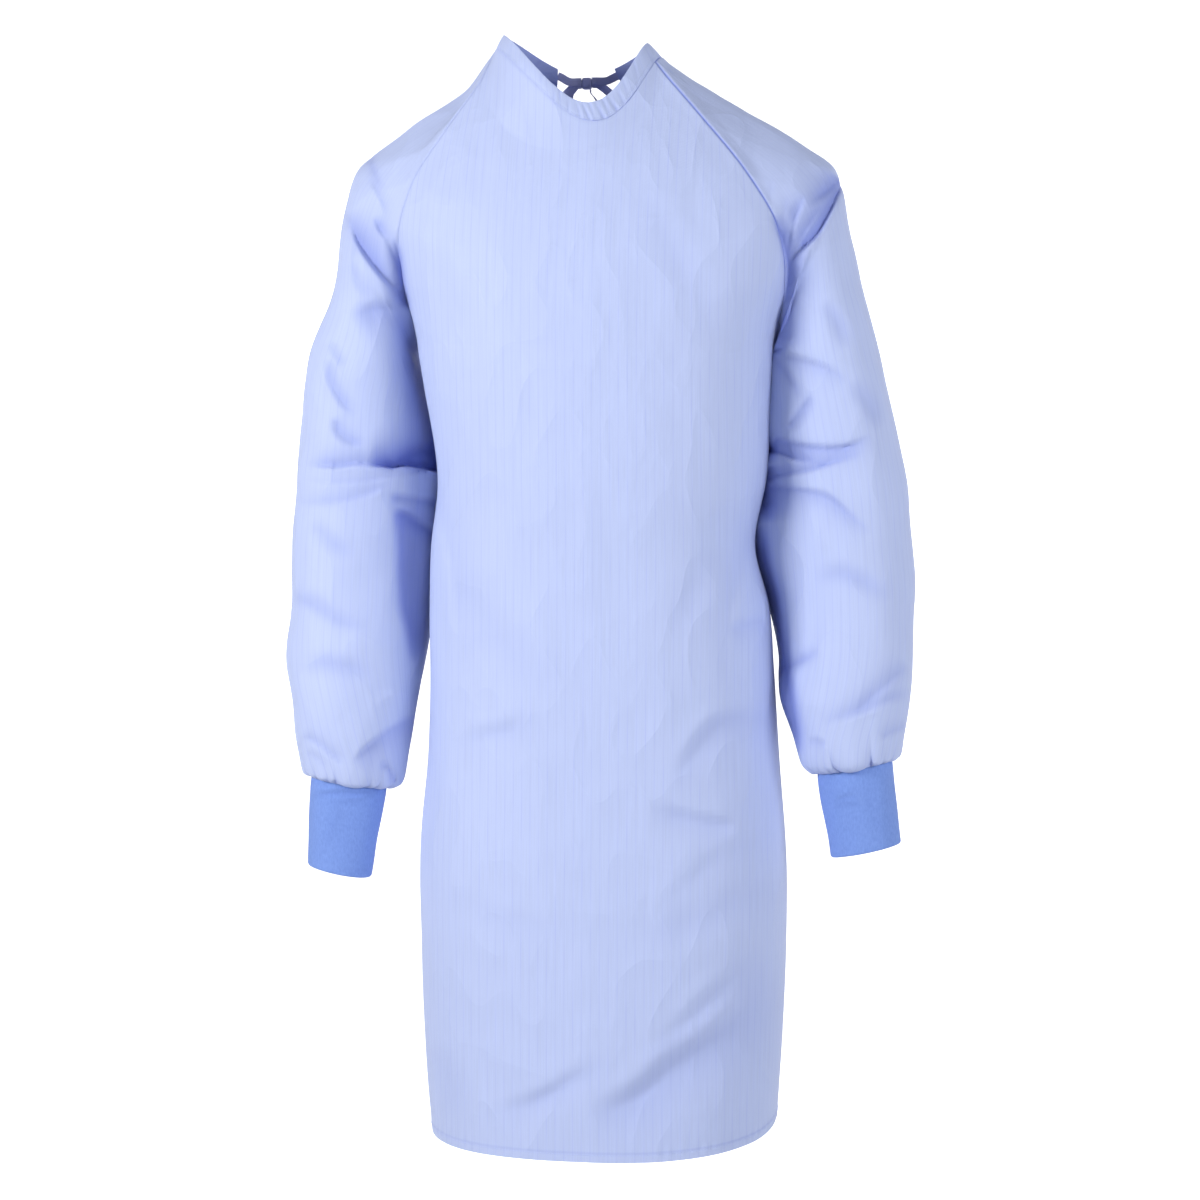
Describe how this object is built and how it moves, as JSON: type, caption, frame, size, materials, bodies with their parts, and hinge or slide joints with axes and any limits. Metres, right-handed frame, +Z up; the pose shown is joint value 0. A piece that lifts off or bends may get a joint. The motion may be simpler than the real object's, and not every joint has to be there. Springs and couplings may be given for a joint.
{
  "type": "open-back gown",
  "caption": "Reusable medical gown with raglan sleeves, knit cuffs and a round neck, tied in a bow behind the neck and open down the back, in its hollow worn shape.",
  "frame": {"origin": "at the base of the neck, midway between the shoulders that carry the gown", "axes": "+X to the right in the front view, the front faces -Y, +Z up"},
  "size_m": [0.6621, 0.264, 1.1492],
  "materials": {
    "blue_cloth": "matt woven barrier cloth with fine darker pinstripes",
    "blue_knit": "matt fine knit"
  },
  "bodies": {
    "root": {"front_panel": "blue_cloth", "back_panel_left": "blue_cloth", "back_panel_right": "blue_cloth", "sleeve_left": "blue_cloth", "sleeve_right": "blue_cloth", "cuff_left": "blue_knit", "cuff_right": "blue_knit", "neck_band": "blue_cloth", "tie_knot": "blue_cloth", "tie_strand_left": "blue_cloth", "tie_strand_right": "blue_cloth", "tie_loop_left": "blue_cloth", "tie_loop_right": "blue_cloth", "tie_tail_left": "blue_cloth", "tie_tail_right": "blue_cloth"}
  },
  "joints": []
}
